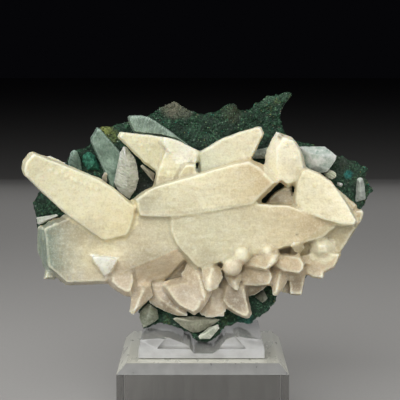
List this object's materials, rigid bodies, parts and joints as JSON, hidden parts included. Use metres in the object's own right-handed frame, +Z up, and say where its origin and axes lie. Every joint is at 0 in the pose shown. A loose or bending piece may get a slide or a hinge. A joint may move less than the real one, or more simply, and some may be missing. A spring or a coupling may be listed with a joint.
{
  "type": "calcite cluster",
  "caption": "Cream bladed calcite crystals on a green matrix plate, standing in a clear scooped cradle on a clear bevelled block.",
  "frame": {"origin": "middle of the clear block's flat base", "axes": "+Z up, +X to the right as the crystals face the viewer, -Y towards the viewer"},
  "size_m": [0.1063, 0.0508, 0.1044],
  "materials": {
    "green_matrix": "rough dark green grains",
    "cream_calcite": "frosted translucent cream",
    "grey_green_calcite": "translucent grey green",
    "pale_calcite": "frosted translucent white",
    "clear_calcite": "clear with inner veils",
    "bright_green_crust": "fine bright green crust",
    "clear_acrylic": "polished clear"
  },
  "bodies": {
    "root": {"matrix_plate": "green_matrix", "calcite_cluster": "cream_calcite", "top_green_crystal": "grey_green_calcite", "left_green_crystal": "grey_green_calcite", "left_grey_crystal": "grey_green_calcite", "low_green_crystal": "grey_green_calcite", "low_grey_crystal": "grey_green_calcite", "low_dark_crystal": "grey_green_calcite", "left_white_crystal": "pale_calcite", "left_white_prism": "pale_calcite", "striated_prism": "pale_calcite", "pink_stub": "pale_calcite", "small_cream_crystal": "pale_calcite", "tiny_white_crystal": "pale_calcite", "right_prism": "pale_calcite", "pale_crystal_behind": "pale_calcite", "low_white_crystal": "pale_calcite", "clear_crystal": "clear_calcite", "green_lump": "bright_green_crust", "stand_cradle": "clear_acrylic", "stand_block": "clear_acrylic"}
  },
  "joints": []
}
